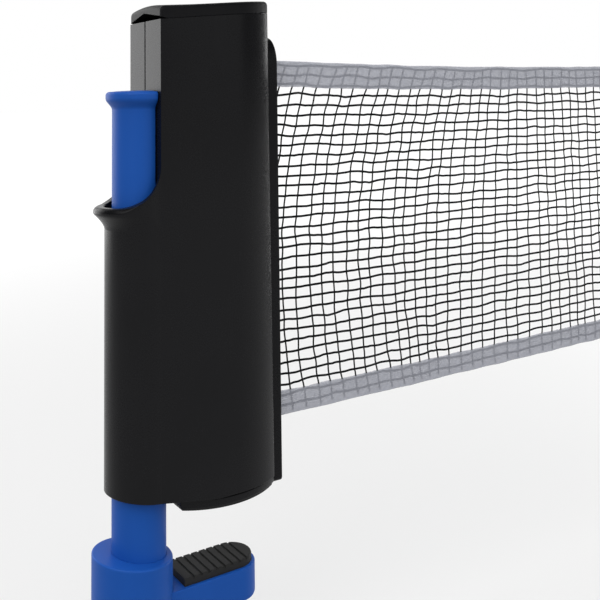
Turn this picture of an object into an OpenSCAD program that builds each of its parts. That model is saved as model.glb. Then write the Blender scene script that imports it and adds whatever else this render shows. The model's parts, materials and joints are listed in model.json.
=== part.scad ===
// Retractable table tennis net post with a spring clamp for the table edge.
// Millimetres. Origin on the table top under the housing, +X the way the net is drawn out,
// Y = 0 the plane in which the two half shells meet, +Z up.

/* [Table and net] */
// Thickness of the table top that the jaws hold
table_t = 22.3; // [16:0.1:28]
// Height of the net's top edge above the table
net_top = 152.5; // [140:0.5:160]
// Height of the net's lower edge above the table
net_bottom = 20.5; // [19:0.5:30]
// Width of the tapes along the net's edges
band_w = 9.5; // [6:0.5:14]
// Thickness of the folded tapes
band_t = 0.9; // [0.6:0.1:1.1]
// Thickness of the knotted mesh
mesh_t = 0.6; // [0.4:0.1:0.9]
// Width of one thread
thread_w = 0.8; // [0.5:0.1:1.2]
// Cells along the net
mesh_cols = 20; // [8:1:24]
// Cells up the net
mesh_rows = 12; // [6:1:12]
// How far the net's end bar stands from the slot
net_out = 202; // [80:1:240]

/* [Housing] */
// Where the spool's axis and the barrel's widest point lie
spool_x = 5; // [4:0.5:6]
// Half the width of the flat face behind the push rod
left_y = 12.7; // [12.3:0.1:13.6]
// Radius of the barrel's curve towards the slot
right_r = 32; // [28:1:50]
// From the rolled-up net to the barrel's end at the slot, where the guide pins stand
lead_room = 5.3; // [5:0.1:9]
// Rounding of the barrel's vertical edges at the slot
end_round = 2; // [0.5:0.1:3]
// Wall of the half shells
wall = 2; // [1.4:0.1:2.2]
// How far the seam under the cap lies above the net, at the flat face
seam_over = 12.8; // [12:0.1:20]
// Rise of the cap's seam over the housing's length, per millimetre
top_slope = 0.095; // [0:0.005:0.12]
// Height of the housing's lower edge over the table
skirt_z = 4; // [3:0.1:5]
// Rise of the lower edges towards the rod, per millimetre
skirt_slope = 0.13; // [0:0.01:0.15]
// Where the lower edge starts to rise
skirt_x = -3; // [-10:0.5:3]
// Thickness of the cap
cap_t = 4.4; // [3.5:0.1:6]
// Rounding of the cap's upper edge
cap_round = 1.8; // [0.8:0.1:2.5]
// Height of the pry notch in the cap's lip
notch_h = 3; // [1:0.1:3.2]
// Depth of the pry notch
notch_d = 1.2; // [0.5:0.1:1.6]

/* [Rod shroud] */
// Height of the shroud's lip over the table
lip_z = 102; // [98:0.5:104]
// Radius of the scoop between the lip and the flat face
scoop_r = 14; // [10:0.5:16]
// How far the lip flares outwards
lip_flare = 4; // [1:0.1:4.6]
// Height over which the lip flares
flare_h = 11; // [8:0.5:14]

/* [Push rod] */
// Radius of the rod
rod_r = 9.1; // [8.6:0.1:9.4]
// Distance from the rod's axis to the flat on its back
rod_flat = 2.2; // [1.5:0.1:4]
// Where the rod's axis lies
rod_x = -25.8; // [-26.4:0.1:-25.6]
// Radius of the thumb head
head_r = 11.3; // [10:0.1:11.6]
// Height of the thumb head's flare
head_h = 6.5; // [5:0.1:9]
// Bore of the rod, in which the clamp spring works
rod_bore = 6.4; // [6:0.1:6.8]
// How far the thumb head can be pressed down
press_travel = 30; // [20:1:30]
// How far above the lip the pressed head stops
head_stop = 2.7; // [2:0.1:6]

/* [Lower jaw] */
// Radius of the boss around the rod's foot
boss_r = 13.4; // [12.2:0.1:14]
// Where the boss's axis lies
boss_x = -28.2; // [-29:0.1:-27.4]
// Height of the boss's shoulder at the rod's axis, under the table top
boss_top = -12.6; // [-14:0.1:-9]
// Height of the jaw's underside
jaw_bottom = -42; // [-46:0.5:-40]
// How far the arm reaches under the table
arm_x = 18; // [10:0.5:26]
// Half the arm's width
arm_y = 8.5; // [7:0.5:10]
// Thickness of the arm
arm_t = 11; // [7.5:0.5:12]
// Thickness of the jaw's rubber pad
pad_t = 4; // [3:0.5:5]
// How much of the pad sits in the arm
pad_sunk = 1.5; // [0.5:0.1:2]

/* [Foot] */
// Radius of the foot's two curved sides
foot_r = 31; // [30:1:40]
// Half the foot's greatest width
foot_y = 13.8; // [13:0.1:14.2]
// Where the foot ends towards the table's edge
foot_x0 = -14; // [-14.5:0.5:-13]
// Where the foot ends under the slot
foot_x1 = 24.5; // [22:0.5:26]
// Thickness of the rubber sheet under the foot
foot_pad_t = 1; // [0.6:0.1:1.5]

/* [Slot] */
// Where the slot bezel's face lies
bezel_x = 27.3; // [26.5:0.1:30]
// Half the bezel's width
bezel_y = 7; // [6:0.1:7.4]
// How far the bezel's arched top rises above the net
bezel_over = 8.7; // [7:0.1:10]
// Height of the arch
arch_h = 10.5; // [5:0.5:12]
// Height of the bezel's foot
bezel_foot = 1.7; // [1.2:0.1:3]
// Half the width of the slot
slot_y = 1; // [0.8:0.05:1.4]

/* [Spool and springs] */
// Radius of the rolled-up net
roll_r = 12; // [11.4:0.1:14]
// Free space between the rolled-up net and the barrel's wall
roll_play = 0.6; // [0.5:0.1:2]
// Radius of the spool's tube
core_r = 4.5; // [3.6:0.1:5]
// Radius of the steel arbor
arbor_r = 1.5; // [1.2:0.1:1.8]
// Wire radius of the clamp spring
wire_r = 0.6; // [0.4:0.05:0.8]
// Turns of the clamp spring
spring_turns = 12; // [8:1:16]
// Thickness of the spool spring's strip
strip_t = 0.4; // [0.3:0.05:0.5]
// Turns of the spool spring
strip_turns = 4; // [2:1:4]

/* [Hidden] */
gap = 0.3;               // between pieces that move past each other
fit = 0.1;               // between pieces that are pushed together
run = 0.05;              // radial play of the spool's bushes
eps = 0.01;
floor_t = 2.5;
web_t = 4.4;             // wall between the rod's bore and the spool chamber
left_x = rod_x + rod_flat + gap;
enc_x = left_x - 1.3;    // axis of the shroud's rounded end
bore_r = rod_r + gap;
cav_x = rod_x + bore_r + web_t;
mouth_r = head_r + gap + fit;
bulge_y = roll_r + roll_play + wall;   // half the barrel's greatest thickness
end_x = spool_x + roll_r + lead_room;  // where the barrel ends at the slot
bore_top = lip_z - 3;    // where the shroud's round bore ends
edge_x = cav_x - 2.4;    // plane of the table's edge
seam_z = net_top + seam_over;
head_z = lip_z + head_stop + press_travel + head_h;
bezel_top = net_top + bezel_over;
// radius of the barrel's curve from the flat face to its widest point
left_r = (pow(spool_x - left_x, 2) + pow(bulge_y - left_y, 2)) / (2 * (bulge_y - left_y));
floor_z = skirt_z + floor_t;
pad_top = -table_t;
arm_top = pad_top - pad_t + pad_sunk;
lift_travel = under_z(rod_x) - boss_top - gap;
seat_t = 3;
seat_y = 2.5;            // half the width of the seat's tongue
seat_z = under_z(rod_x) + 5;
seat_flange_t = 1.5;
seat_flange_y = 5;
seat_flange_up = 16;
seat_flange_down = 4;
seat_screw_y = 3;
seat_screw_z = seat_z + 11;
seat_screw_l = 3;
spring_room = 59;        // length of the clamp spring's space
spring_top = seat_z + seat_t + spring_room;
flat_z0 = spring_top + 4;    // the rod is round below this and has a flat back above
mesh_x0 = spool_x + roll_r + 0.5;
net_x1 = bezel_x + net_out;
bar_r = 3.2;
bar_x = net_x1 + bar_r;
end_rod_r = 1.7;
tip_r = 1.5;             // the end rod's tips, which hook into the second post
pin_out = 8;
pin_r = 1.2;
pin_play = 0.4;          // between the rolled-up net and the guide pins
pin_x = spool_x + roll_r + pin_play + pin_r;
pin_y = band_t / 2 + 0.35 + pin_r;
pin_foot = 1.5;          // how deep the guide pins stand in the floor
tongue_t = 2.5;          // wall of the bezel's tongue beside the slot
tongue_over = 3.4;       // how far the tongue reaches past the net's edges
shelf_z = net_top + 5;
shelf_t = 3;
hub_r = 3.6;
bush_r = 2.4;
bush_h = 6;
drum_r = 9.2;
drum_t = 0.6;
drum_h = 9.5;
flange_z = floor_z + drum_h + 1;
flange_t = 1.5;
core_top = net_top + 2.5;
arbor_z = foot_pad_t + 0.8;
arbor_top = seam_at(spool_x) - 2.5;
screw_r = 1.25;
screw_head_r = 2.3;
head_play = 0.2;         // around a sunk screw head
foot_screw_back = 13;    // from the spool's axis towards the rod
foot_screw_fore = 10.5;  // from the spool's axis towards the slot
foot_screw_y = 6;
foot_screws = [for (x = [-foot_screw_back, foot_screw_fore]) for (s = [-1, 1])
               [spool_x + x, s * foot_screw_y]];
foot_boss_r = screw_r + 1.35;
foot_boss_h = 5;
foot_head_t = 1.4;       // height of the foot screws' heads
foot_screw_top = floor_z + foot_boss_h - 0.8;
pin_top = shelf_z + shelf_t - 0.6;
case_screws = [[cav_x - 1.2, 34], [cav_x - 1.2, 88], [cav_x - 5, net_top - 12.5],
               [spool_x + 7, net_top + 7.5]];
case_boss_r = 2.7;
case_screw_y = left_y - 3.4;   // how far the case screws reach into the front half
case_head_y = left_y - 4;      // where their heads are seated in the rear half

// ---- rules that several pieces share ----

function seam_at(x) = seam_z + top_slope * (x - left_x);
function under_z(x) = skirt_z + skirt_slope * max(0, skirt_x - x);
function arc(cx, cy, r, a0, a1, n) =
    [for (i = [0:n]) let (a = a0 + (a1 - a0) * i / n) [cx + r * cos(a), cy + r * sin(a)]];
function flip(pts) = [for (i = [len(pts) - 1:-1:0]) [pts[i][0], -pts[i][1]]];

// front half of the barrel's plan from the flat face to the slot, drawn in by d
function right_side(d) =
    let (rc = max(end_round - d, 0.2), cy = right_r - bulge_y, R = right_r - d,
         cx = end_x - d - rc, a = -acos((cx - spool_x) / (R - rc)),
         ry = cy + (R - rc) * sin(a))
    concat(arc(spool_x, cy, R, -90, a, 12), arc(cx, ry, rc, a, 0, 6));
function left_side(d) =
    let (a = asin((spool_x - left_x) / (left_r - d)))
    arc(spool_x, left_r - bulge_y, left_r - d, -90 - a, -90, 8);
function front_side(d) = concat(left_side(d), [for (i = [1:18]) right_side(d)[i]]);
function barrel(d) = concat(front_side(d), flip(front_side(d)));
function shrouded(d) =
    concat(front_side(d), flip(front_side(d)), arc(enc_x, 0, left_y - d, 90, 270, 36));

module slab(x0, x1, y0, y1, z0, z1) translate([x0, y0, z0]) cube([x1 - x0, y1 - y0, z1 - z0]);
module rod_at(x, y, r, z0, z1, fn = 48) translate([x, y, z0]) cylinder(r = r, h = z1 - z0, $fn = fn);
module along_y(x, z, r, y0, y1, fn = 32)
    translate([x, y1, z]) rotate([90, 0, 0]) cylinder(r = r, h = y1 - y0, $fn = fn);
// a side view, drawn in X and Z, given depth along Y
module side_cut(pts, y0, y1)
    translate([0, y1, 0]) rotate([90, 0, 0]) linear_extrude(y1 - y0) polygon(pts);

module above_seam() side_cut([[-90, seam_at(-90)], [90, seam_at(90)], [90, 240], [-90, 240]], -40, 40);
module below_skirt()
    side_cut([[-90, -90], [90, -90], [90, skirt_z], [skirt_x, skirt_z], [-90, under_z(-90)]], -40, 40);
// clears the space over the lip and beside the flat face
module scoop()
    side_cut(concat([[-90, lip_z]], arc(left_x - scoop_r, lip_z + scoop_r, scoop_r, 270, 360, 16),
                    [[left_x, 240], [-90, 240]]), -40, 40);
module lip()
    for (k = [0:2])
        let (z0 = lip_z + 1 - flare_h * (1 - k / 3), z1 = z0 + flare_h / 3,
             s0 = lip_flare * pow(k / 3, 2), s1 = lip_flare * pow((k + 1) / 3, 2))
        hull() {
            rod_at(enc_x - s0, 0, left_y + s0 * 0.2, z0, z0 + eps, 40);
            rod_at(enc_x - s1, 0, left_y + s1 * 0.2, z1, z1 + eps, 40);
        }
module funnel()
    intersection() {
        hull() {
            rod_at(rod_x, 0, bore_r, lip_z - 14, lip_z - 14 + eps, 40);
            rod_at(enc_x - lip_flare, 0, mouth_r, lip_z + 2, lip_z + scoop_r, 40);
            rod_at(rod_x + 0.8, 0, mouth_r, lip_z + 2, lip_z + scoop_r, 40);
        }
        slab(-60, left_x, -30, 30, 0, 200);
    }

// ---- housing ----

module shell() {
    difference() {
        union() {
            translate([0, 0, skirt_z - 1]) linear_extrude(200) polygon(shrouded(0));
            lip();
        }
        scoop();
        above_seam();
        below_skirt();
        funnel();
        rod_at(rod_x, 0, bore_r, 0, bore_top, 72);
        // spool chamber, and the wider room over the shroud
        intersection() {
            translate([0, 0, floor_z]) linear_extrude(200) polygon(barrel(wall));
            union() {
                slab(cav_x, 60, -30, 30, 0, 240);
                slab(left_x + wall, 60, -30, 30, lip_z + 2, 240);
            }
        }
        // mouth for the bezel's tongue
        tongue(fit, end_x - wall - 2, end_x + 2);
        // window for the spring seat
        slab(rod_x, cav_x + 1, -seat_y - gap, seat_y + gap, seat_z - 2 * fit, seat_z + seat_t + 2 * fit);
        seat_screw_places() cylinder(r = screw_r, h = seat_screw_l + 1, $fn = 24);
        rod_at(spool_x, 0, arbor_r, 0, floor_z + 1, 32);
        for (p = foot_screws) rod_at(p[0], p[1], screw_r, 0, floor_z + 1, 24);
        for (s = [-1, 1]) rod_at(pin_x, s * pin_y, pin_r, floor_z - pin_foot, floor_z + 1, 24);
    }
    // bosses over the foot screws
    for (p = foot_screws) difference() {
        rod_at(p[0], p[1], foot_boss_r, floor_z, floor_z + foot_boss_h, 24);
        rod_at(p[0], p[1], screw_r, floor_z - 1, floor_z + foot_boss_h - 0.5, 24);
    }
    // shelf that holds the guide pins' tops
    difference() {
        slab(pin_x - pin_r - 1, end_x - wall, -5, 5, shelf_z, shelf_z + shelf_t);
        for (s = [-1, 1]) rod_at(pin_x, s * pin_y, pin_r, shelf_z - 1, pin_top, 24);
    }
}
module case_bosses(s) intersection() {
    for (p = case_screws) along_y(p[0], p[1], case_boss_r, s > 0 ? 0 : -bulge_y, s > 0 ? bulge_y : 0);
    translate([0, 0, floor_z]) linear_extrude(200) polygon(barrel(wall / 2));
}
module housing_front() color([0.13, 0.13, 0.14]) difference() {
    union() {
        intersection() { shell(); slab(-60, 60, -40, 0, 0, 240); }
        case_bosses(-1);
    }
    for (p = case_screws) along_y(p[0], p[1], screw_r, -case_screw_y - 2 * fit, 1);
}
module housing_rear() color([0.13, 0.13, 0.14]) difference() {
    union() {
        intersection() { shell(); slab(-60, 60, 0, 40, 0, 240); }
        case_bosses(1);
    }
    for (p = case_screws) {
        along_y(p[0], p[1], screw_r, -1, 30);
        along_y(p[0], p[1], screw_head_r + head_play, case_head_y, 30);
    }
}

// follows the seam's slope
module sloped(z, d) multmatrix([[1, 0, 0, 0], [0, 1, 0, 0], [top_slope, 0, 1, seam_at(0) + z], [0, 0, 0, 1]])
    linear_extrude(eps) polygon(barrel(d));
module top_cap() color([0.13, 0.13, 0.14]) {
    difference() {
        hull() {
            sloped(0, 0);
            for (a = [0:22.5:90])
                sloped(cap_t - eps - cap_round * (1 - sin(a)), cap_round * (1 - cos(a)));
        }
        // pry notch under the lip
        translate([left_x - 1, 0, 0]) rotate([90, 0, 90]) linear_extrude(notch_d + 1)
            polygon([[-30, seam_z - 1], [30, seam_z - 1], [30, seam_z + 0.6], [left_y, seam_z + 0.9],
                     [1, seam_z + notch_h], [-left_y, seam_z + 0.9], [-30, seam_z + 0.6]]);
    }
    // skirt that plugs into the housing
    difference() {
        intersection() {
            translate([0, 0, seam_z - 3]) linear_extrude(12) polygon(barrel(wall + 0.15));
            side_cut([[-90, seam_at(-90) - 3], [90, seam_at(90) - 3], [90, seam_at(90) + 1],
                      [-90, seam_at(-90) + 1]], -40, 40);
            slab(left_x + wall + 0.15, 60, -30, 30, 0, 240);
        }
        translate([0, 0, seam_z - 4]) linear_extrude(20) polygon(barrel(wall + 1.6));
    }
    // socket of the arbor
    difference() {
        rod_at(spool_x, 0, 4, core_top + 3.5, seam_at(spool_x) + 1);
        rod_at(spool_x, 0, arbor_r, core_top + 2, arbor_top, 32);
    }
}

// ---- foot ----

module lens(d, z0, z1) intersection() {
    rod_at(spool_x - 0.5, foot_r - foot_y, foot_r - d, z0, z1, 96);
    rod_at(spool_x - 0.5, foot_y - foot_r, foot_r - d, z0, z1, 96);
    slab(foot_x0 + d, foot_x1 - d, -30, 30, z0, z1);
}
module base_plate() color([0.12, 0.12, 0.13]) difference() {
    intersection() {
        lens(0, foot_pad_t, 12);
        below_skirt();
    }
    rod_at(spool_x, 0, arbor_r, arbor_z, 20, 32);
    for (p = foot_screws) {
        rod_at(p[0], p[1], screw_r + fit, 0, 20, 24);
        rod_at(p[0], p[1], screw_head_r + head_play, 0, foot_pad_t + foot_head_t + fit, 24);
    }
    // room for the bezel's foot
    slab(end_x - eps, 60, -bezel_y - fit, bezel_y + fit, bezel_foot - fit, 20);
}
module base_pad() color([0.07, 0.07, 0.07]) difference() {
    lens(0.6, 0, foot_pad_t);
    for (p = foot_screws) rod_at(p[0], p[1], screw_head_r + 2 * head_play, -1, 5, 24);
}

// ---- slot ----

module tongue(d, x0, x1)
    slab(x0, x1, -slot_y - tongue_t - d, slot_y + tongue_t + d,
         net_bottom - tongue_over - d, net_top + tongue_over + d);
function bezel_outline(d) =
    concat([[-bezel_y + d, bezel_foot + d], [bezel_y - d, bezel_foot + d]],
           [for (i = [0:16]) let (a = 180 * i / 16)
               [(bezel_y - d) * cos(a), bezel_top - arch_h + (arch_h - d) * sin(a)]]);
module across_x(pts, x0, x1) translate([x0, 0, 0]) rotate([90, 0, 90]) linear_extrude(x1 - x0) polygon(pts);
module slot_bezel() color([0.11, 0.11, 0.12]) difference() {
    union() {
        across_x(bezel_outline(0), end_x, bezel_x - 1);
        hull() {
            across_x(bezel_outline(0), bezel_x - 1 - eps, bezel_x - 1);
            across_x(bezel_outline(1), bezel_x - eps, bezel_x);
        }
        tongue(0, end_x - wall, end_x + 1);
    }
    slab(0, 60, -slot_y, slot_y, net_bottom - 1.5, net_top + 1.5);
}
module guide_pins() color([0.7, 0.7, 0.72])
    for (s = [-1, 1]) rod_at(pin_x, s * pin_y, pin_r, floor_z - pin_foot, pin_top, 24);

// ---- clamp ----

module push_rod() color([0.09, 0.25, 0.62]) difference() {
    translate([rod_x, 0, 0]) rotate_extrude($fn = 96) polygon(concat(
        [[0, jaw_bottom + 4], [rod_r, jaw_bottom + 4], [rod_r, head_z - head_h]],
        [for (a = [15:15:90]) [rod_r + (head_r - rod_r) * (1 - cos(a)),
                               head_z - head_h + (head_h - 2.6) * sin(a)]],
        arc(head_r - 1.3, head_z - 1.7, 1.3, 0, 75, 5),
        [[0, head_z]]));
    rod_at(rod_x, 0, rod_bore, jaw_bottom, spring_top, 64);
    // flat back that slides along the housing's face
    slab(rod_x + rod_flat, 0, -20, 20, flat_z0, 200);
    // slot for the spring seat
    slab(rod_x, rod_x + 20, -seat_y - gap - fit, seat_y + gap + fit, seat_z - lift_travel - 0.5,
         seat_z + seat_t + press_travel + 0.5);
    along_y(rod_x, jaw_bottom + 13, 1.5, -30, 30);
}
module lower_jaw() color([0.09, 0.25, 0.62]) difference() {
    union() {
        difference() {
            rod_at(boss_x, 0, boss_r, jaw_bottom, 10, 96);
            slab(edge_x - 0.5, 40, -30, 30, arm_top, 60);
            // shoulder parallel to the shroud's lower edge
            side_cut([[-90, boss_top + skirt_slope * (rod_x + 90)], [40, boss_top + skirt_slope * (rod_x - 40)],
                      [40, 60], [-90, 60]], -30, 30);
        }
        slab(boss_x + 6, arm_x - arm_y, -arm_y, arm_y, arm_top - arm_t, arm_top);
        rod_at(arm_x - arm_y, 0, arm_y, arm_top - arm_t, arm_top, 64);
        // ribs under the arm
        for (s = [-1, 0, 1]) side_cut([[boss_x + 8, jaw_bottom + 1], [boss_x + 15, jaw_bottom + 1],
            [arm_x - 8, arm_top - arm_t + 1], [boss_x + 8, arm_top - arm_t + 1]],
            s * (arm_y - 2.2) - 1, s * (arm_y - 2.2) + 1);
    }
    rod_at(rod_x, 0, rod_r, jaw_bottom + 4, 60, 96);
    // bed of the pad
    slab(edge_x + 2, arm_x - arm_y, -arm_y + 1.2, arm_y - 1.2, arm_top - pad_sunk, arm_top + 5);
    rod_at(arm_x - arm_y, 0, arm_y - 1.2, arm_top - pad_sunk, arm_top + 5, 64);
    along_y(rod_x, jaw_bottom + 13, 1.5, -30, 30);
}
module lower_jaw_pad() color([0.07, 0.07, 0.07]) {
    slab(edge_x + 2, arm_x - arm_y, -arm_y + 1.2, arm_y - 1.2, arm_top - pad_sunk, pad_top);
    rod_at(arm_x - arm_y, 0, arm_y - 1.2, arm_top - pad_sunk, pad_top, 64);
}
module jaw_pin() color([0.7, 0.7, 0.72])
    along_y(rod_x, jaw_bottom + 13, 1.5, -boss_r + 0.6, boss_r - 0.6);

// ring k of a wire wound with the given radius, pitch and number of rings a turn
function wire_ring(r, w, z, a) =
    [for (j = [0:5]) let (b = 60 * j) [(r + w * cos(b)) * cos(a), (r + w * cos(b)) * sin(a), z + w * sin(b)]];
coil_r = rod_bore - wire_r - 0.7;
coil_z0 = seat_z + seat_t + wire_r;
coil_z1 = spring_top - wire_r;
coil_rings = 8 * spring_turns;
coil_axis = [for (i = [0:coil_rings])
    [coil_r * cos(45 * i), coil_r * sin(45 * i), coil_z0 + (coil_z1 - coil_z0) * i / coil_rings]];
echo("least gap of the clamp spring's turns",
     min([for (i = [0:coil_rings - 6]) for (k = [6:min(10, coil_rings - i)])
             norm(coil_axis[i + k] - coil_axis[i])]) - 2 * wire_r);
module clamp_spring() color([0.6, 0.6, 0.62]) translate([rod_x, 0, 0])
    polyhedron(
        points = [for (i = [0:coil_rings]) each wire_ring(coil_r, wire_r,
            coil_z0 + (coil_z1 - coil_z0) * i / coil_rings, 45 * i)],
        faces = concat(
            [for (i = [0:coil_rings - 1]) for (j = [0:5]) let (a = 6 * i + j, b = 6 * i + (j + 1) % 6)
                each [[a, b, a + 6], [b, b + 6, a + 6]]],
            [for (j = [1:4]) [0, j + 1, j]],
            [for (j = [1:4]) let (e = 6 * coil_rings) [e, e + j, e + j + 1]]));
module spring_seat() color([0.6, 0.6, 0.62]) difference() {
    union() {
        rod_at(rod_x, 0, rod_bore - 0.4, seat_z, seat_z + seat_t);
        slab(rod_x, cav_x + seat_flange_t, -seat_y, seat_y, seat_z, seat_z + seat_t);
        slab(cav_x, cav_x + seat_flange_t, -seat_flange_y, seat_flange_y,
             seat_z - seat_flange_down, seat_z + seat_flange_up);
    }
    rod_at(rod_x, 0, 2, seat_z - 1, seat_z + seat_t + 1, 32);
    seat_screw_places() cylinder(r = screw_r, h = seat_screw_l + 1, $fn = 24);
}
module seat_screw_places()
    for (s = [-1, 1]) translate([cav_x + seat_flange_t - seat_screw_l, s * seat_screw_y, seat_screw_z])
        rotate([0, 90, 0]) children();
module screw(len, head) {
    difference() {
        union() {
            cylinder(r = screw_r, h = len + eps, $fn = 24);
            translate([0, 0, len]) cylinder(r = screw_head_r, h = head, $fn = 32);
        }
        translate([0, 0, len + head - 1]) cylinder(r = 1.2, h = 2, $fn = 6);
    }
}
module seat_screws() color([0.6, 0.6, 0.62])
    seat_screw_places() screw(seat_screw_l, 1.6);
module housing_screws() color([0.6, 0.6, 0.62])
    for (p = case_screws) translate([p[0], -case_screw_y, p[1]]) rotate([-90, 0, 0])
        screw(case_screw_y + case_head_y, 2);
module base_screws() color([0.6, 0.6, 0.62])
    for (p = foot_screws) translate([p[0], p[1], foot_screw_top]) rotate([180, 0, 0])
        screw(foot_screw_top - foot_pad_t - foot_head_t - fit, foot_head_t);

// ---- spool ----

module spool_core() color([0.85, 0.85, 0.85]) difference() {
    union() {
        rod_at(spool_x, 0, hub_r, floor_z + 0.8, flange_z + 1);
        rod_at(spool_x, 0, roll_r - 0.2, flange_z, flange_z + flange_t, 72);
        rod_at(spool_x, 0, core_r, flange_z, core_top);
    }
    rod_at(spool_x, 0, bush_r, 0, 200);
}
module bush(z) color([0.78, 0.62, 0.3]) difference() {
    rod_at(spool_x, 0, bush_r, z, z + bush_h, 40);
    rod_at(spool_x, 0, arbor_r + run, z - 1, z + bush_h + 1, 40);
}
module lower_bush() bush(floor_z + 0.8);
module upper_bush() bush(core_top - bush_h);
module net_roll() color([0.2, 0.2, 0.22]) difference() {
    rod_at(spool_x, 0, roll_r, net_bottom, net_top, 72);
    rod_at(spool_x, 0, core_r, 0, 200);
}
module spool_arbor() color([0.7, 0.7, 0.72]) rod_at(spool_x, 0, arbor_r, arbor_z, arbor_top, 32);
module spring_drum() color([0.3, 0.3, 0.32]) difference() {
    rod_at(spool_x, 0, drum_r, floor_z, floor_z + drum_h, 64);
    rod_at(spool_x, 0, drum_r - drum_t, floor_z + 0.6, floor_z + drum_h + 1, 64);
    rod_at(spool_x, 0, hub_r + 0.4, floor_z - 1, floor_z + 2);
}
strip_r0 = hub_r + gap;
strip_pitch = (drum_r - drum_t - gap - strip_t - strip_r0) / strip_turns;
function strip_edge(d) = [for (i = [0:24 * strip_turns]) let (a = 15 * i, r = strip_r0 + strip_pitch * a / 360 + d)
    [r * cos(a), r * sin(a)]];
echo("least gap of the spool spring's turns", strip_pitch - strip_t);
module spool_spring() color([0.6, 0.6, 0.62]) translate([spool_x, 0, floor_z + 1]) linear_extrude(drum_h - 1.6)
    polygon(concat(strip_edge(0), [for (i = [24 * strip_turns:-1:0]) strip_edge(strip_t)[i]]));

// ---- net ----

module sheet(x0, x1, t, z0, z1) slab(x0, x1, -t / 2, t / 2, z0, z1);
mesh_z0 = net_bottom + band_w;
mesh_z1 = net_top - band_w;
cell_w = (net_x1 - mesh_x0 - thread_w) / mesh_cols;
cell_h = (mesh_z1 - mesh_z0 - thread_w) / mesh_rows;
module net_mesh() color([0.12, 0.12, 0.13]) rotate([90, 0, 0]) translate([0, 0, -mesh_t / 2])
    linear_extrude(mesh_t) polygon(
        points = concat(
            [[mesh_x0, mesh_z0], [net_x1, mesh_z0], [net_x1, mesh_z1], [mesh_x0, mesh_z1]],
            [for (i = [0:mesh_cols - 1]) for (j = [0:mesh_rows - 1])
                let (x = mesh_x0 + thread_w + i * cell_w, z = mesh_z0 + thread_w + j * cell_h,
                     w = cell_w - thread_w, h = cell_h - thread_w)
                each [[x, z], [x + w, z], [x + w, z + h], [x, z + h]]]),
        paths = concat([[0, 1, 2, 3]],
            [for (k = [1:mesh_cols * mesh_rows]) [4 * k, 4 * k + 1, 4 * k + 2, 4 * k + 3]]));
module net_top_band() color([0.66, 0.68, 0.7]) sheet(mesh_x0, net_x1, band_t, mesh_z1, net_top);
module net_bottom_band() color([0.66, 0.68, 0.7]) sheet(mesh_x0, net_x1, band_t, net_bottom, mesh_z0);
module net_end_bar() color([0.13, 0.13, 0.14]) difference() {
    rod_at(bar_x, 0, bar_r, net_bottom - 2, net_top + 2, 48);
    rod_at(bar_x, 0, end_rod_r, 0, 200, 32);
}
module net_end_rod() color([0.7, 0.7, 0.72]) {
    rod_at(bar_x, 0, end_rod_r, net_bottom - 2, net_top + 2, 32);
    rod_at(bar_x, 0, tip_r, net_bottom - 2 - pin_out, net_top + 2 + pin_out, 32);
}

housing_front();
housing_rear();
top_cap();
base_plate();
base_pad();
slot_bezel();
push_rod();
lower_jaw();
lower_jaw_pad();
jaw_pin();
clamp_spring();
spring_seat();
seat_screws();
spool_core();
net_roll();
spool_arbor();
spool_spring();
spring_drum();
upper_bush();
lower_bush();
guide_pins();
housing_screws();
base_screws();
net_mesh();
net_top_band();
net_bottom_band();
net_end_bar();
net_end_rod();
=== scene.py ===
import json
from math import acos, asin, cos, degrees, hypot, pi, radians, sin, sqrt, tau
import bmesh
import bpy
from mathutils import Matrix, Vector, noise

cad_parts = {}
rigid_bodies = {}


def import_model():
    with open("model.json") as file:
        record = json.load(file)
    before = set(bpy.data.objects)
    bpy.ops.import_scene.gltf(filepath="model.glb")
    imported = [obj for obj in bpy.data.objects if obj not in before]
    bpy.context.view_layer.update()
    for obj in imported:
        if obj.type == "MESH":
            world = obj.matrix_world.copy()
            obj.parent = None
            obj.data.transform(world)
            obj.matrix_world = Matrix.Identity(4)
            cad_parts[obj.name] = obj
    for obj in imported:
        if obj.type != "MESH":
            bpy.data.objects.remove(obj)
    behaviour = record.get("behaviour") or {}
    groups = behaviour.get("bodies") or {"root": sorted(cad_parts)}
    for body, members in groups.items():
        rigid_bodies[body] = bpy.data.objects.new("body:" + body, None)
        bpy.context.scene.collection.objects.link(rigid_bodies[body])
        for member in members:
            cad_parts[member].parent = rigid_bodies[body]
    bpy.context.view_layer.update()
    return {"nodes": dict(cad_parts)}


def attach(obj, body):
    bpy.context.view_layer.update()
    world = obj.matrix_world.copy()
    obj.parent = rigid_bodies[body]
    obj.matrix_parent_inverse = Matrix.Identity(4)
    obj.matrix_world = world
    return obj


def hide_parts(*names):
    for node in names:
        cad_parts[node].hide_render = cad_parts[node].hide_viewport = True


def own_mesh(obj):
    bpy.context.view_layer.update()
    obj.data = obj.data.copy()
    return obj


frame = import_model()
mm = 0.001
mergeGap = 0.002 * mm
beyond = {"side": 90, "across": 40, "up": 240}  # cutting tools end this far out, past every piece

# mesh helpers; lengths are in millimetres until a mesh is made


def keep(mesh, name):
    obj = bpy.data.objects.new(name, mesh)
    bpy.context.scene.collection.objects.link(obj)
    return obj


def clean(obj, sharpAngle=35):
    bm = bmesh.new()
    bm.from_mesh(obj.data)
    bmesh.ops.remove_doubles(bm, verts=bm.verts, dist=mergeGap)
    bmesh.ops.dissolve_degenerate(bm, edges=bm.edges, dist=mergeGap)
    loose = [v for v in bm.verts if not v.link_faces]
    bmesh.ops.delete(bm, geom=loose, context="VERTS")
    bmesh.ops.recalc_face_normals(bm, faces=bm.faces)
    bm.to_mesh(obj.data)
    bm.free()
    obj.data.shade_smooth()
    obj.data.set_sharp_from_angle(angle=radians(sharpAngle))
    return obj


def makeMesh(name, points, edges=(), faces=()):
    mesh = bpy.data.meshes.new(name)
    mesh.from_pydata([Vector(p) * mm for p in points], edges, faces)
    return keep(mesh, name)


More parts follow.
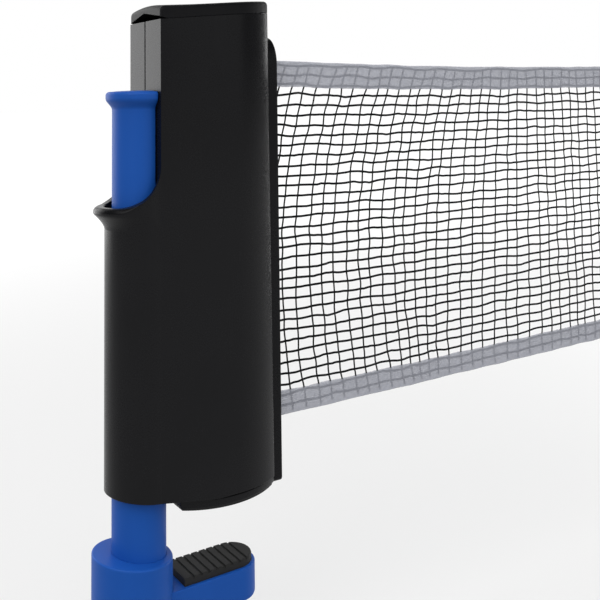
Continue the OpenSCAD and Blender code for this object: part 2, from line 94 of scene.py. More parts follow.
def loft(name, rings, sharpAngle=35, capped=True):
    # closed rings joined in order, with flat ends
    count = len(rings[0])
    faces = []
    for i in range(len(rings) - 1):
        for j in range(count):
            k = (j + 1) % count
            faces.append((i * count + j, i * count + k, (i + 1) * count + k, (i + 1) * count + j))
    if capped:
        last = (len(rings) - 1) * count
        faces.append(tuple(reversed(range(count))))
        faces.append(tuple(range(last, last + count)))
    return clean(makeMesh(name, [p for ring in rings for p in ring], faces=faces), sharpAngle)


def circle(r, steps, cx=0):
    return [(cx + r * cos(tau * k / steps), r * sin(tau * k / steps)) for k in range(steps)]


def atHeight(plan, z):
    return [(x, y, z) for x, y in plan]


def revolve(name, profile, cx, steps):
    # profile runs from the lower pole to the upper one as (radius, height)
    points = [(cx, 0, profile[0][1])]
    for r, z in profile[1:-1]:
        points += atHeight(circle(r, steps, cx), z)
    points.append((cx, 0, profile[-1][1]))
    faces = []
    top = len(points) - 1
    for k in range(steps):
        m = (k + 1) % steps
        faces.append((0, 1 + m, 1 + k))
        for i in range(1, top - steps, steps):
            faces.append((i + k, i + m, i + steps + m, i + steps + k))
        faces.append((top, top - steps + k, top - steps + m))
    return clean(makeMesh(name, points, faces=faces))


def arc(cx, cy, r, start, end, steps):
    # angles in degrees
    turns = [radians(start + (end - start) * i / steps) for i in range(steps + 1)]
    return [(cx + r * cos(a), cy + r * sin(a)) for a in turns]


def quarterRound(r, steps):
    # how far an edge of this rounding has drawn in, and how much of its height is left
    turns = [radians(90 / steps * i) for i in range(1, steps + 1)]
    return [(r * (1 - cos(a)), r * (1 - sin(a))) for a in turns]


def spaced(start, gap, count):
    return [start + gap * i for i in range(count)]


def stacked(name, plan, levels):
    # a plan that draws in by an inset at each height
    return loft(name, [atHeight(plan(inset), z) for inset, z in levels])


def prism(name, outline, z0, z1):
    return loft(name, [atHeight(outline, z) for z in (z0, z1)])


def sidePrism(name, outline, y0=-beyond["across"], y1=beyond["across"]):
    # outline in X and Z
    return loft(name, [[(x, y, z) for x, z in outline] for y in (y0, y1)])


def block(name, x0, x1, y0, y1, z0, z1):
    return prism(name, [(x0, y0), (x1, y0), (x1, y1), (x0, y1)], z0, z1)


def rodAlong(name, start, end, radius, steps):
    start, end = Vector(start), Vector(end)
    turn = (end - start).to_track_quat("Z", "Y")
    ring = [turn @ Vector((x, y, 0)) for x, y in circle(radius, steps)]
    return loft(name, [[tuple(p + q) for q in ring] for p in (start, end)])


def bakeModifiers(obj):
    view = bpy.context.evaluated_depsgraph_get()
    mesh = bpy.data.meshes.new_from_object(obj.evaluated_get(view), depsgraph=view)
    obj.modifiers.clear()
    obj.data = mesh
    return obj


def combine(obj, tools, operation="DIFFERENCE", sharpAngle=35):
    for tool in tools:
        step = obj.modifiers.new("combine", "BOOLEAN")
        step.operation = operation
        step.solver = "EXACT"
        step.object = tool
    bakeModifiers(obj)
    for tool in tools:
        bpy.data.objects.remove(tool)
    return clean(obj, sharpAngle)


def joined(name, parts):
    base = parts[0]
    bm = bmesh.new()
    for part in parts:
        bm.from_mesh(part.data)
    bm.to_mesh(base.data)
    bm.free()
    for part in parts[1:]:
        bpy.data.objects.remove(part)
    base.name = name
    return clean(base)


def evenShade(obj):
    # normals follow the larger faces, so that a flat stays flat beside its rounded edges
    step = obj.modifiers.new("even", "WEIGHTED_NORMAL")
    step.keep_sharp = True
    step.weight = 80
    return bakeModifiers(obj)


def smoothStep(t):
    t = min(1, max(0, t))
    return t * t * (3 - 2 * t)


def place(obj, body, material, node):
    obj.data.materials.clear()
    obj.data.materials.append(material)
    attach(obj, body)
    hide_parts(node)
    return obj


# node helpers, for materials, world and Geometry Nodes


def feed(tree, socket, value):
    for item in value if isinstance(value, list) else [value]:
        if isinstance(item, Value):
            tree.links.new(item.socket, socket)
        else:
            socket.default_value = item


def addNode(tree, kind, settings=None, out=0, **values):
    # settings come first; a socket goes by its name, or by its number as _0, _1 and so on
    node = tree.nodes.new(kind)
    for key, value in (settings or {}).items():
        setattr(node, key, value)
    for key, value in values.items():
        feed(tree, node.inputs[int(key[1:]) if key[1:].isdigit() else key.replace("_", " ")], value)
    return Value(tree, node.outputs[out]) if node.outputs else None


class Value:
    # wraps a socket, so that sums read as sums
    def __init__(self, tree, socket):
        self.tree = tree
        self.socket = socket

    def math(self, operation, other):
        return addNode(self.tree, "ShaderNodeMath", {"operation": operation}, _0=self, _1=other)

    def __add__(self, other):
        return self.math("ADD", other)

    def __mul__(self, other):
        return self.math("MULTIPLY", other)

    __radd__ = __add__
    __rmul__ = __mul__


smooth = {"interpolation_type": "SMOOTHSTEP"}


class Finish:
    def __init__(self, name):
        self.material = bpy.data.materials.new(name)
        self.material.use_nodes = True
        self.tree = self.material.node_tree
        self.shader = self.tree.nodes["Principled BSDF"]
        self.place = self.node("ShaderNodeTexCoord", out="Object")

    def node(self, kind, settings=None, out=0, **values):
        return addNode(self.tree, kind, settings, out, **values)

    def set(self, **values):
        for key, value in values.items():
            feed(self.tree, self.shader.inputs[key.replace("_", " ")], value)

    def grain(self, scale, detail=3, stretch=(1, 1, 1)):
        where = self.node("ShaderNodeMapping", {"vector_type": "POINT"}, Vector=self.place, Scale=stretch)
        return self.node("ShaderNodeTexNoise", Vector=where, Scale=scale, Detail=detail, Roughness=0.55)

    def bands(self, way, scale, distortion):
        return self.node("ShaderNodeTexWave", {"wave_type": "BANDS", "bands_direction": way},
                         Vector=self.place, Scale=scale, Distortion=distortion, Detail=1)

    def blend(self, factor, first, second):
        # a mix of two colours
        return self.node("ShaderNodeMix", {"data_type": "RGBA"}, 2, _0=factor, _6=first, _7=second)

    def relief(self, height, depth, strength, edge=None):
        # fine relief of this depth, and edges rounded by edge, both in millimetres
        values = {"Height": height, "Distance": depth * mm, "Strength": strength}
        if edge:
            values["Normal"] = self.node("ShaderNodeBevel", {"samples": 6}, Radius=edge * mm)
        self.set(Normal=self.node("ShaderNodeBump", **values))


def rgb(r, g, b):
    return (r, g, b, 1)


blackLook = {"base": rgb(0.0036, 0.0036, 0.0044), "bare": rgb(0.0085, 0.0085, 0.0100), "roughness": 0.21,
             "level": 0.15, "worn": (0.60, 0.80)}


def blackPlastic(name, edge, lift=1.0, rough=0.0):
    f = Finish(name)
    broad = f.grain(34, 4)
    fine = f.grain(2100)
    scuff = f.grain(160, 6, (1, 1, 0.16))
    low, high = blackLook["worn"]
    worn = f.node("ShaderNodeMapRange", smooth, Value=scuff, _1=low, _2=high)
    rough += blackLook["roughness"]
    f.set(Base_Color=f.blend(broad * 0.7 + worn * 0.35, blackLook["base"], blackLook["bare"]),
          Roughness=rough + broad * 0.07 + fine * 0.05 + worn * 0.06,
          Specular_IOR_Level=blackLook["level"] * lift)
    f.relief(fine + worn * 0.3, 0.012, 0.5, edge)
    return f.material


blueLook = {"deep": rgb(0.0085, 0.080, 0.385), "light": rgb(0.0125, 0.102, 0.465), "roughness": 0.40,
            "level": 0.16}


def bluePlastic(name):
    f = Finish(name)
    broad = f.grain(28, 4)
    flow = f.grain(120, 3, (1, 1, 0.08))
    fine = f.grain(1500)
    f.set(Base_Color=f.blend(broad * 0.6 + flow * 0.4, blueLook["deep"], blueLook["light"]),
          Roughness=blueLook["roughness"] + flow * 0.10 + fine * 0.05, Specular_IOR_Level=blueLook["level"])
    f.relief(fine + flow * 2, 0.010, 0.45, 0.30)
    return f.material


def twoTone(name, dark, light, look):
    # soft blotches between two tones under a fine grain
    f = Finish(name)
    fine = f.grain(*look["fine"])
    f.set(Base_Color=f.blend(f.grain(look["broad"]), dark, light),
          Roughness=look["roughness"] + fine * look["uneven"], Specular_IOR_Level=look["level"])
    f.relief(fine, *look["relief"])
    return f.material


rubberLook = {"fine": (1800, 4), "broad": 60, "roughness": 0.68, "uneven": 0.20, "level": 0.35,
              "relief": (0.03, 0.8, 0.15)}
paleLook = {"fine": (1600, 3), "broad": 40, "roughness": 0.40, "uneven": 0.12, "level": 0.45,
            "relief": (0.01, 0.5, 0.2)}


def metalLook(name, light, dark, roughness, along=(1, 1, 14)):
    f = Finish(name)
    lines = f.grain(900, 4, along)
    stain = f.grain(70, 4)
    f.set(Base_Color=f.blend(stain * 0.6 + lines * 0.4, dark, light), Metallic=1.0,
          Roughness=roughness - 0.08 + lines * 0.14 + stain * 0.08)
    f.relief(lines, 0.006, 0.6, 0.10)
    return f.material


def threadLook(name):
    f = Finish(name)
    fuzz = f.grain(3000)
    f.set(Base_Color=f.blend(fuzz * 0.7, rgb(0.0025, 0.0027, 0.003), rgb(0.010, 0.0105, 0.0115)),
          Roughness=0.72 + fuzz * 0.15, Specular_IOR_Level=0.12)
    f.relief(f.bands("DIAGONAL", 900, 1.5) + fuzz, 0.05, 0.7)
    return f.material


tapeTone = {"dark": rgb(0.49, 0.505, 0.57), "light": rgb(0.61, 0.625, 0.70), "alpha": 0.33}


def tapeLook(name):
    # thin woven tape: warp and weft from two wave bands, a little of the threads inside shows through
    f = Finish(name)
    weave = f.bands("X", 520, 0.8) * 0.5 + f.bands("Z", 620, 0.8) * 0.5
    fuzz = f.grain(900, 5)
    blotch = f.grain(140, 4)
    f.set(Base_Color=f.blend(blotch * 0.6 + weave * 0.25 + fuzz * 0.15, tapeTone["dark"], tapeTone["light"]),
          Roughness=0.82 + fuzz * 0.1, Specular_IOR_Level=0.2, Sheen_Weight=0.15,
          Alpha=tapeTone["alpha"] + fuzz * 0.14 + weave * 0.06)
    f.relief(weave + fuzz, 0.06, 0.6)
    return f.material


housingBlack = blackPlastic("housingBlack", 0.3)
bezelBlack = blackPlastic("bezelBlack", 0.2, 0.8)
capBlack = blackPlastic("capBlack", 0.3, 0.8, 0.16)
rodBlue = bluePlastic("rodBlue")
softRubber = twoTone("softRubber", rgb(0.012, 0.012, 0.012), rgb(0.026, 0.026, 0.026), rubberLook)
brightSteel = metalLook("brightSteel", rgb(0.62, 0.62, 0.63), rgb(0.47, 0.47, 0.49), 0.28)
springSteel = metalLook("springSteel", rgb(0.50, 0.50, 0.52), rgb(0.34, 0.34, 0.36), 0.34, (1, 1, 1))
turnedBrass = metalLook("turnedBrass", rgb(0.74, 0.56, 0.26), rgb(0.58, 0.42, 0.18), 0.30)
spoolWhite = twoTone("spoolWhite", rgb(0.70, 0.70, 0.67), rgb(0.80, 0.80, 0.78), paleLook)
netBlack = threadLook("netBlack")
tapeGrey = tapeLook("tapeGrey")
print("materials ready")

# the barrel's plan, seam and lower edge, and what the rod runs in

barrel = {
    "spoolX": 5.0, "faceX": -23.3, "faceY": 12.7, "halfDepth": 14.6, "slotR": 32.0, "endX": 22.3,
    "endRound": 2.0, "faceRound": 0.95, "cornerSteps": 8, "endSteps": 14, "wall": 2.0, "seamZ": 165.3,
    "seamSlope": 0.095, "skirtZ": 4.0, "skirtSlope": 0.13, "skirtX": -3.0, "floorZ": 6.5, "roomTop": 190.0,
    "chamberX": -12.0, "groove": 0.38, "grooveDepth": 0.8, "grooveZ": 99.5, "seamRound": 0.22,
    "partEdge": 0.2, "leanLow": 0.3, "leanHigh": 0.45, "leanZ": 165, "mouthY": 3.6,
    "mouthZ": (17.0, 156.0), "windowY": 2.8, "windowZ": (11.96, 15.2), "overlap": 5.0,
}
barrel["faceR"] = (((barrel["spoolX"] - barrel["faceX"]) ** 2 + (barrel["halfDepth"] - barrel["faceY"]) ** 2)
                   / (2 * (barrel["halfDepth"] - barrel["faceY"])))
shroud = {"axisX": -24.6, "lipZ": 102.0, "scoopR": 14.0, "flare": 3.35, "flareZ": (94.4, 99.7), "spread": 0.2,
          "rimRound": 0.85, "bead": 1.7, "beadFade": (45, 38), "innerBead": 0.7,
          "steps": 60, "sideSteps": 10, "plainZ": 120}
rod = {"x": -25.8, "r": 9.1, "bore": 6.4, "boreTop": 73.96, "headR": 11.3, "headZ": 141.2,
       "neckZ": (134.6, 138.6), "flatX": -23.6, "flatZ": 77.96, "low": -38.0, "clearR": 9.4,
       "clearTop": 99.0, "slotY": 2.9, "slotZ": (-7.8, 45.5)}
funnel = {"foot": 88.0, "rise": 16.0, "r": 9.36, "grow": 1.15, "left": 1.5, "right": 0.8, "headGrow": 1.4,
          "headLeft": 0.9, "headRise": 5.0, "top": 150.0, "beadFade": (30, 25)}


def seamAt(x):
    return barrel["seamZ"] + barrel["seamSlope"] * (x - barrel["faceX"])


def skirtAt(x):
    return barrel["skirtZ"] + barrel["skirtSlope"] * max(0, barrel["skirtX"] - x)


def frontPlan(inset, faceRound=barrel["faceRound"]):
    # front side of the barrel's plan, from the flat face round to the slot end, drawn in by inset
    b = barrel
    least = 0.3
    cx = b["faceX"] + faceRound
    reach = b["faceR"] - faceRound
    centreY = b["faceR"] - b["halfDepth"]
    cy = centreY - sqrt(reach ** 2 - (b["spoolX"] - cx) ** 2)
    lean = degrees(asin((b["spoolX"] - cx) / reach))
    cx += max(0, inset - faceRound + least)
    points = arc(cx, cy, max(faceRound - inset, least), 180, 270 - lean, b["cornerSteps"])
    arcR = b["faceR"] - inset
    lean = degrees(asin((b["spoolX"] - points[-1][0]) / arcR))
    points += arc(b["spoolX"], centreY, arcR, 270 - lean, 270, 24)[1:]
    arcR = b["slotR"] - inset
    centreY = b["slotR"] - b["halfDepth"]
    rc = max(b["endRound"] - inset, 0.2)
    cx = b["endX"] - inset - rc
    angle = -degrees(acos((cx - b["spoolX"]) / (arcR - rc)))
    cy = centreY + (arcR - rc) * sin(radians(angle))
    points += arc(b["spoolX"], centreY, arcR, -90, angle, 24)[1:]
    points += arc(cx, cy, rc, angle, 0, b["endSteps"])[1:]
    return points


def flareAt(z):
    low, high = shroud["flareZ"]
    return shroud["flare"] * min(1, max(0, (z - low) / (high - low))) ** 1.5


def underScoop(x, z):
    # how far a point lies under the scoop's surface
    r, dx, dz = shroud["scoopR"], x - barrel["faceX"] + shroud["scoopR"], z - shroud["lipZ"]
    return -dz if dx < 0 else hypot(dx, dz - r) - r


def beadInset(x, z, turn):
    # draws the shroud's outside in near its lip, so that the lip is a rounded bead at the rod's far side
    start, length = shroud["beadFade"]
    r = shroud["bead"] * (1 - smoothStep((turn - start) / length))
    under = underScoop(x, z) if z <= shroud["lipZ"] + shroud["scoopR"] else 0
    if r < 0.02 or under > r:
        return 0
    reach = min(0.97 * r, r - under)
    return r - sqrt(r * r - reach * reach)


def innerBead(z):
    r = shroud["innerBead"]
    depth = min(r, max(0, z - shroud["lipZ"] + r))
    return r - sqrt(r * r - depth * depth)


def shroudPlan(z):
    # rounded end that guides the rod, from its tip at Y = 0 to the flat face's corner
    s = flareAt(z)
    cx = shroud["axisX"] - s
    spread = shroud["spread"] * s
    points = []
    for i in range(shroud["steps"] + 1):
        r = barrel["faceY"] + spread
        turn = 90 * i / shroud["steps"]
        c, t = cos(radians(turn)), sin(radians(turn))
        r -= beadInset(cx - r * c, z, turn)
        points.append((cx - r * c, -r * t))
    for i in range(shroud["sideSteps"]):
        g = (i + 1) / shroud["sideSteps"]
        points.append((cx + g * (barrel["faceX"] - cx), -(barrel["faceY"] + spread * (1 - smoothStep(g)))))
    return points


def slotLean(x, z):
    # the barrel's slot end stands a little further out at its foot than under the cap
    b = barrel
    share = max(0, (x - b["spoolX"]) / (b["endX"] - b["spoolX"]))
    return x + share * (b["leanLow"] - (b["leanLow"] + b["leanHigh"]) * z / b["seamZ"])


def clipped(points, minX):
    # the part of an outline to the right of minX
    kept = []
    for (x0, y0), (x1, y1) in zip(points, points[1:]):
        if x0 < minX <= x1:
            t = (minX - x0) / (x1 - x0)
            kept.append((minX, y0 + t * (y1 - y0)))
        if x1 >= minX:
            kept.append((x1, y1))
    return kept


def shellBody(name):
    # the front half, solid, up to the seam under the cap
    def outline(z, inset):
        end, edge = barrel["endX"] - inset, barrel["partEdge"]
        return shroudPlan(z) + frontPlan(inset)[barrel["cornerSteps"] + 1:] + [(end, -edge), (end - edge, 0)]

    heights = [0, 40, 94.3] + spaced(94.4, 0.5, 11) + spaced(99.9, 0.2, 28) + [106, 108, 110, 118, 140]
    rings = [[(slotLean(x, z), y, z) for x, y in outline(z, 0)] for z in heights]
    for inset, drop in ((0, 0.25), (0.06, 0.08), (barrel["seamRound"], 0)):
        rings.append([(slotLean(x, barrel["leanZ"]), y, seamAt(x) - drop)
                      for x, y in outline(shroud["plainZ"], inset)])
    return loft(name, rings)


def outerCuts():
    # scoop over the lip with the space beside the flat face, and the space under the sloping lower edge
    b, side, up = barrel, beyond["side"], beyond["up"]
    lip, sr, fx = shroud["lipZ"], shroud["scoopR"], b["faceX"]
    scoop = [(-side, lip)] + arc(fx - sr, lip + sr, sr, 270, 360, 40) + [(fx, up), (-side, up)]
    under = [(-side, -side), (side, -side), (side, b["skirtZ"]), (b["skirtX"], b["skirtZ"]),
             (-side, skirtAt(-side))]
    return [sidePrism("scoop", scoop), sidePrism("under", under)]


def softenRim(shell):
    # rounds the shroud's outer edge along the scoop, up the flat face's corner
    bm = bmesh.new()
    bm.from_mesh(shell.data)
    chosen = []
    lip = shroud["lipZ"]

    def onScoop(p):
        x, z = p.x / mm, p.z / mm
        return abs(underScoop(x, z) if z < lip + shroud["scoopR"] else x - barrel["faceX"]) < 0.03

    for edge in bm.edges:
        a, b = (v.co for v in edge.verts)
        if not (onScoop(a) and onScoop(b)) or max(a.z, b.z) / mm < lip - 1:
            continue
        if abs(a.y) < 2 * mm and abs(b.y) < 2 * mm and abs(a.x - b.x) > abs(a.y - b.y):
            continue
        if len(edge.link_faces) == 2 and edge.calc_face_angle() > radians(40):
            if max(abs(a.y), abs(b.y)) > 0.01 * mm:
                chosen.append(edge)
    bmesh.ops.bevel(bm, geom=chosen, offset=shroud["rimRound"] * mm, segments=4, profile=0.5,
                    affect="EDGES", clamp_overlap=True)
    bm.to_mesh(shell.data)
    bm.free()
    clean(shell)


def funnelTool():
    # room round the rod that widens to the lip, with room for the pressed head above it
    lip, fx = shroud["lipZ"], barrel["faceX"]
    start, length = funnel["beadFade"]
    nearLip = [101.3, 101.45, 101.6, 101.75, 101.88, 101.97]
    rings = []
    for z in spaced(funnel["foot"], 1.5, 9) + nearLip + spaced(102.02, 1, 7):
        f = (min(z, lip) - funnel["foot"]) / funnel["rise"]
        wider = smoothStep((z - lip) / funnel["headRise"])
        r = funnel["r"] + funnel["grow"] * f + funnel["headGrow"] * wider
        left = rod["x"] - funnel["left"] * f - funnel["headLeft"] * wider
        right = rod["x"] + funnel["right"] * f
        turn = degrees(asin(min(1, (fx - right) / r)))
        ring = []
        for a in range(90, 271, 3):
            wide = r + innerBead(z) * (1 - smoothStep((abs(a - 180) - start) / length))
            ring.append((left + wide * cos(radians(a)), wide * sin(radians(a))))
        side = arc(right, 0, r, 270, 270 + turn, 8)[1:]
        ring += side + [(x, -y) for x, y in reversed(side)]
        rings.append(atHeight(ring, z))
    rings.append(atHeight(ring, funnel["top"]))
    return loft("funnel", rings)


def spoolRooms():
    # the spool's chamber, and the wider room over the shroud
    b = barrel
    inner = frontPlan(b["wall"], 0.6)
    rooms = []
    for name, minX, z in (("room", b["chamberX"], b["floorZ"]),
                          ("roomAbove", b["faceX"] + b["wall"] + 0.05, shroud["lipZ"] + 2)):
        plan = [(minX, 1)] + clipped(inner, minX) + [(b["endX"] - b["wall"], 1)]
        rooms.append(prism(name, plan, z, b["roomTop"]))
    return rooms


def shellCuts():
    # mouth of the slot, window of the spring seat, groove along the parting line
    b, over = barrel, barrel["overlap"]
    return [block("mouth", b["endX"] - 4, b["endX"] + 2, -b["mouthY"], over, *b["mouthZ"]),
            block("window", rod["x"], b["chamberX"] + 1, -b["windowY"], over, *b["windowZ"]),
            block("groove", b["faceX"] - 1, b["faceX"] + b["grooveDepth"], -b["groove"], over, b["grooveZ"],
                  beyond["up"])]


caseScrews = [(-13.2, 34.0), (-13.2, 88.0), (-17.0, 140.0), (12.0, 160.0)]
screw = {"r": 1.25, "coreR": 1.02, "headR": 2.3, "seatY": 8.7, "reachY": -9.3, "bossR": 2.7, "bossY": 12.6,
         "playR": 0.2, "pitch": 0.5, "steps": 24}


def alongY(name, x, z, y0, y1, r, steps):
    return rodAlong(name, (x, y0, z), (x, y1, z), r, steps)


def halfShell(name, rear):
    shell = shellBody(name)
    combine(shell, outerCuts())
    softenRim(shell)
    bore = rodAlong("bore", (rod["x"], 0, -10), (rod["x"], 0, rod["clearTop"]), rod["clearR"], 128)
    for tool in [funnelTool(), bore] + spoolRooms():
        combine(shell, [tool])
    combine(shell, shellCuts())
    if rear:
        shell.data.transform(Matrix.Diagonal((1, -1, 1, 1)))
        clean(shell)
    s, out = screw, 30
    bossY = s["bossY"] if rear else -s["bossY"]
    combine(shell, [alongY("boss", x, z, 0, bossY, s["bossR"], 40) for x, z in caseScrews], "UNION")
    cuts = []
    if rear:
        cuts = [alongY("head", x, z, s["seatY"], out, s["headR"] + s["playR"], 48) for x, z in caseScrews]
    y0, y1 = (-1, out) if rear else (s["reachY"] - 0.2, 1)
    return combine(shell, cuts + [alongY("hole", x, z, y0, y1, s["r"], 24) for x, z in caseScrews])


for name, rear, node in (("housingFront", False, "housing_front"), ("housingRear", True, "housing_rear")):
    place(evenShade(halfShell(name, rear)), "housing", housingBlack, node)
print("half shells ready")

# cap with the pry notch over the flat face

cap = {
    "thick": 4.4, "round": 1.8, "edge": 0.2, "crown": 1.05, "across": 24, "leanZ": 167,
    "notchHigh": 3.0, "notchSide": 0.8, "notchEnds": (1.05, 0.45),  # heights in the middle, front and rear
    "channel": {"wide": 11.9, "deep": 16.0, "front": 1.05, "rear": 0.45, "taper": 1},
    "opening": {"wide": 30, "deep": 2.8, "front": 0.6, "rear": 0.15, "taper": 0.2},
}


def crownAt(x, y):
    # the top bulges a little across the flat face, less towards the slot
    along = 1 - smoothStep((x - barrel["faceX"]) / (barrel["spoolX"] - barrel["faceX"]))
    return cap["crown"] * along * max(0, 1 - (y / barrel["faceY"]) ** 2)


def capLines(inset, level):
    # lines across the cap at a level over the seam
    up = min(1, max(0, level) / (cap["thick"] - cap["round"]))
    rows = []
    for x, y in frontPlan(inset):
        ys = [y - 2 * y * j / cap["across"] for j in range(cap["across"] + 1)]
        rows.append([(slotLean(x, cap["leanZ"]), yy, seamAt(x) + level + up * crownAt(x, yy)) for yy in ys])
    return rows


def capRing(inset, level):
    rows = capLines(inset, level)
    whole = [row[0] for row in rows] + rows[-1][1:-1] + [row[-1] for row in reversed(rows)]
    return whole + list(reversed(rows[0][1:-1]))


def capSkin(lines):
    # quads between the lines; the points of the round corners go into the end faces
    count = len(lines[0])
    plain = range(barrel["cornerSteps"], len(lines) - barrel["endSteps"])
    kept = [0] + list(plain) + [len(lines) - 1]
    faces = []
    for a, b in zip(kept, kept[1:]):
        for j in range(count - 1):
            near = [k * count for k in range(a + 1, b)] if j == 0 else []
            far = [k * count + count - 1 for k in range(b - 1, a, -1)] if j == count - 2 else []
            this, then = a * count + j, b * count + j
            faces.append([this] + near + [then, then + 1] + far + [this + 1])
    return clean(makeMesh("capSkin", [p for line in lines for p in line], faces=faces))


def notchTool(wide, deep, front, rear, taper):
    z, side = barrel["seamZ"], barrel["faceY"] - cap["notchSide"]
    high = cap["notchEnds"]
    notch = [(-wide, z - 1), (wide, z - 1), (wide, z + rear), (side, z + high[1]), (1, z + cap["notchHigh"]),
             (-side, z + high[0]), (-wide, z + front)]
    ends = [(y, z + (zz - z) * (taper if zz > z else 1)) for y, zz in notch]
    x0, x1 = barrel["faceX"] - 1, barrel["faceX"] + deep
    return loft("notch", [[(x0, *p) for p in notch], [(x1, *p) for p in ends]])


def capPiece():
    levels = [(cap["edge"], 0), (0.06, 0.06), (0, 0.2), (0, cap["thick"] - cap["round"])]
    levels += [(inset, cap["thick"] - left) for inset, left in quarterRound(cap["round"], 10)]
    sides = loft("topCap", [capRing(*level) for level in levels], 40, capped=False)
    piece = joined("topCap", [sides, capSkin(capLines(*levels[0])), capSkin(capLines(*levels[-1]))])
    for size in (cap["channel"], cap["opening"]):
        combine(piece, [notchTool(**size)], sharpAngle=40)
    return piece


place(evenShade(capPiece()), "housing", capBlack, "top_cap")

# foot on the table and the rubber under it

foot = {"r": 31.0, "y": 13.8, "x0": -14.0, "x1": 24.5, "padZ": 1.0, "midX": 4.5, "headR": 2.5, "headZ": 2.6,
        "roomY": 7.2, "screws": [(x, y) for x in (-8, 15.5) for y in (-6, 6)]}


def lensPlan(inset):
    r = foot["r"] - inset
    off = foot["r"] - foot["y"]
    x0, x1 = foot["x0"] + inset, foot["x1"] - inset
    a0 = degrees(acos((x0 - foot["midX"]) / r))
    a1 = degrees(acos((x1 - foot["midX"]) / r))
    front = arc(foot["midX"], off, r, -a0, -a1, 60)
    return front + [(x, -y) for x, y in reversed(front)]


def footHeads(z0, z1, r):
    # the recesses of the foot screws' heads
    return [rodAlong("head", (x, y, z0), (x, y, z1), r, 40) for x, y in foot["screws"]]


def bezelRoom():
    return block("bezelRoom", barrel["endX"] - 0.6, 60, -foot["roomY"], foot["roomY"], -1, 20)


def footPiece():
    low, b, side = foot["padZ"], barrel, beyond["side"]
    rim = ((0.25, low), (0.07, low + 0.07), (0, low + 0.25))
    rings = [atHeight(lensPlan(inset), z) for inset, z in rim]
    # dark groove under the housing's lower edge
    for inset, drop in ((0, 0.9), (0.1, 0.72), (0.65, 0.66), (0.65, -3)):
        rings.append([(x, y, skirtAt(x) - drop) for x, y in lensPlan(inset)])
    piece = loft("footPlate", rings)
    over = [(-side, skirtAt(-side)), (b["skirtX"], b["skirtZ"]), (side, b["skirtZ"]), (side, 60), (-side, 60)]
    cuts = [sidePrism("over", over), bezelRoom()]
    return combine(piece, cuts + footHeads(0, foot["headZ"], foot["headR"]))


def footPadPiece():
    piece = stacked("footPad", lensPlan, [(0.75, 0), (0.6, 0.15), (0.6, foot["padZ"])])
    return combine(piece, footHeads(-1, 3, foot["headR"] + 0.2) + [bezelRoom()])


place(evenShade(footPiece()), "housing", housingBlack, "base_plate")
place(evenShade(footPadPiece()), "housing", softRubber, "base_pad")

# bezel of the slot

bezel = {"faceX": 27.3, "y": 7.1, "top": 161.2, "archH": 10.5, "low": 0.4, "corner": 1.3,
         "slotZ": (19.0, 154.0), "tongueY": 3.5, "tongueZ": (17.1, 155.9)}


def bezelPiece():
    x, end = bezel["faceX"], barrel["endX"]

    def ring(inset, level):
        y, low, r = bezel["y"] - inset, bezel["low"] + inset, bezel["corner"]
        arch = bezel["archH"]
        points = arc(y - r, low + r, r, 270, 360, 8)
        for i in range(41):
            a = pi * i / 40
            points.append((y * cos(a), bezel["top"] - arch + (arch - inset) * sin(a)))
        return [(level, *p) for p in points + arc(-y + r, low + r, r, 180, 270, 8)]

    levels = [(0, end - 0.6), (0, x - 0.4), (0.03, x - 0.28), (0.12, x - 0.12), (0.28, x - 0.03), (0.4, x)]
    piece = loft("slotBezel", [ring(*level) for level in levels])
    tongue = block("tongue", end - 2, end + 1, -bezel["tongueY"], bezel["tongueY"], *bezel["tongueZ"])
    combine(piece, [tongue], "UNION")
    mouth = [(end - 5, 1.0), (x - 1.0, 1.0), (x - 0.3, 1.12), (x + 0.01, 1.45), (x + 0.02, 1.5)]
    rings = []
    for level, w in mouth:
        z0, z1 = bezel["slotZ"][0] + 1 - w, bezel["slotZ"][1] - 1 + w
        rings.append([(level, -w, z0), (level, w, z0), (level, w, z1), (level, -w, z1)])
    return combine(piece, [loft("slotCut", rings)])


place(evenShade(bezelPiece()), "housing", bezelBlack, "slot_bezel")
print("cap, foot and bezel ready")

# push rod, and the pin that holds the jaw on it

pin = {"z": -29, "r": 1.5, "half": 12.8, "edge": 0.3}


def pinHole():
    return alongY("pinHole", rod["x"], pin["z"], -30, 30, pin["r"], 32)


def rodPiece():
    x, r, hr, hz = rod["x"], rod["r"], rod["headR"], rod["headZ"]
    low, high = rod["neckZ"]
    profile = [(0, rod["low"]), (r - 0.5, rod["low"]), (r, rod["low"] + 0.5)]
    profile += [(r, z) for z in (-20, 0, 30, 60, 77, 90, 110, 128, low)]
    for i in range(1, 17):
        profile.append((r + (hr - r) * (1 - cos(pi * i / 16)) / 2, low + (high - low) * i / 16))
    profile += arc(hr - 1.3, hz - 1.7, 1.3, 0, 90, 12)
    profile += [(hr - 2.2, hz - 0.36), (hr - 3.4, hz - 0.2), (4, hz - 0.02), (0, hz)]
    piece = revolve("pushRod", profile, x, 144)
    return combine(piece, [rodAlong("bore", (x, 0, -60), (x, 0, rod["boreTop"]), rod["bore"], 96),
                           block("flat", rod["flatX"], 0, -20, 20, rod["flatZ"], 200),
                           block("seatSlot", x, x + 20, -rod["slotY"], rod["slotY"], *rod["slotZ"]),
                           pinHole()])


place(evenShade(rodPiece()), "clamp", rodBlue, "push_rod")

# lower jaw and its rubber pad

jaw = {"x": -28.2, "r": 13.4, "shoulder": -12.6, "bottom": -42.0, "edgeX": -14.9, "armTop": -24.8,
       "armT": 11.0, "armX": 18.0, "armY": 8.5, "round": 0.7, "ribs": (-1, 0, 1), "padX": (-12.4, 9.5),
       "padY": 7.3, "padTop": -22.3, "padSunk": 1.5, "gripX": spaced(-9.5, 3, 8), "gripWide": 0.9,
       "gripDeep": 0.6}


def tonguePlan(x0, x1, y, steps):
    # straight end at x0, round end about x1
    return [(x0, -y)] + arc(x1, 0, y, -90, 90, steps) + [(x0, y)]


